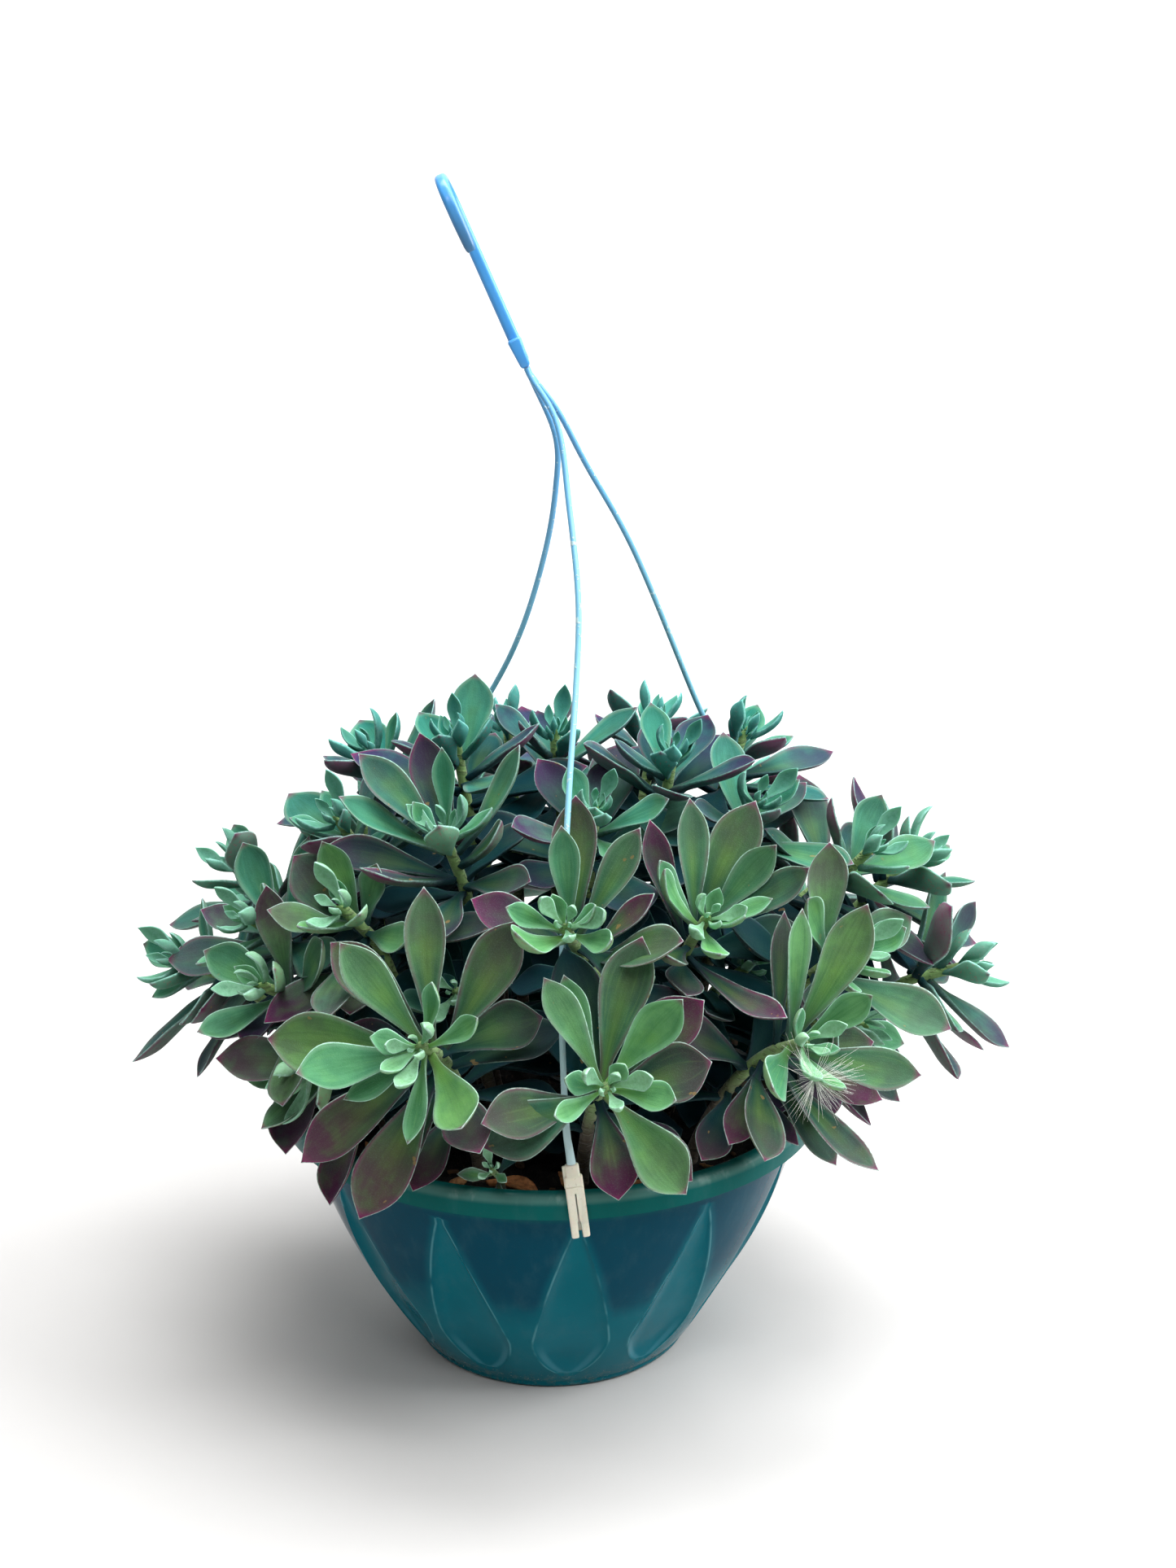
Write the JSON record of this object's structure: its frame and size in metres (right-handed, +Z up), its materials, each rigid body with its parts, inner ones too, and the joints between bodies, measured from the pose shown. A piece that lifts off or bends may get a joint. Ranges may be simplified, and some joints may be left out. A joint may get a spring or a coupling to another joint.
{
  "type": "potted echeveria",
  "caption": "Clump of felted, purple-edged echeveria rosettes filling a fluted plastic hanging bowl with a rim clip, strand and hook hanger, standing on its flat base.",
  "frame": {"origin": "centre of the pot's flat base, where it rests", "axes": "+Z up along the pot's axis, -Y towards the front that the picture shows, +X to the right in that view"},
  "size_m": [0.3985, 0.3641, 0.5273],
  "materials": {
    "pot": "glossy moulded polypropylene, deep blue-green",
    "soil": "dark damp potting mix with bark and dry leaf bits",
    "hook": "satin blue moulded plastic",
    "strand": "faded pale blue moulded plastic",
    "clip": "milky cream moulded plastic",
    "leaf": "velvety felted green leaf with silvery down and purple edges"
  },
  "bodies": {
    "root": {"clip_front": "clip", "clip_left": "clip", "clip_right": "clip", "hook": "hook", "pot": "pot", "rosette_back_1_1": "leaf", "rosette_back_1_2": "leaf", "rosette_back_1_3": "leaf", "rosette_back_1_4": "leaf", "rosette_back_1_5": "leaf", "rosette_back_1_6": "leaf", "rosette_back_2_1": "leaf", "rosette_back_2_2": "leaf", "rosette_back_2_3": "leaf", "rosette_back_2_4": "leaf", "rosette_crown_back": "leaf", "rosette_crown_back_left": "leaf", "rosette_crown_left": "leaf", "rosette_crown_right": "leaf", "rosette_front_left": "leaf", "rosette_front_middle": "leaf", "rosette_front_right": "leaf", "rosette_inner_left": "leaf", "rosette_inner_middle": "leaf", "rosette_inner_right": "leaf", "rosette_left_far": "leaf", "rosette_left_high": "leaf", "rosette_left_low": "leaf", "rosette_left_mid": "leaf", "rosette_left_rim": "leaf", "rosette_left_shoulder": "leaf", "rosette_middle": "leaf", "rosette_middle_right": "leaf", "rosette_pup": "leaf", "rosette_right_big": "leaf", "rosette_right_far": "leaf", "rosette_right_high": "leaf", "rosette_right_mid": "leaf", "rosette_right_rim": "leaf", "rosette_shoulder_left": "leaf", "rosette_top_left": "leaf", "rosette_top_mid": "leaf", "rosette_top_right": "leaf", "rosette_upper_left": "leaf", "rosette_upper_mid": "leaf", "rosette_upper_right": "leaf", "soil": "soil", "strand_front": "strand", "strand_left": "strand", "strand_right": "strand"}
  },
  "joints": []
}
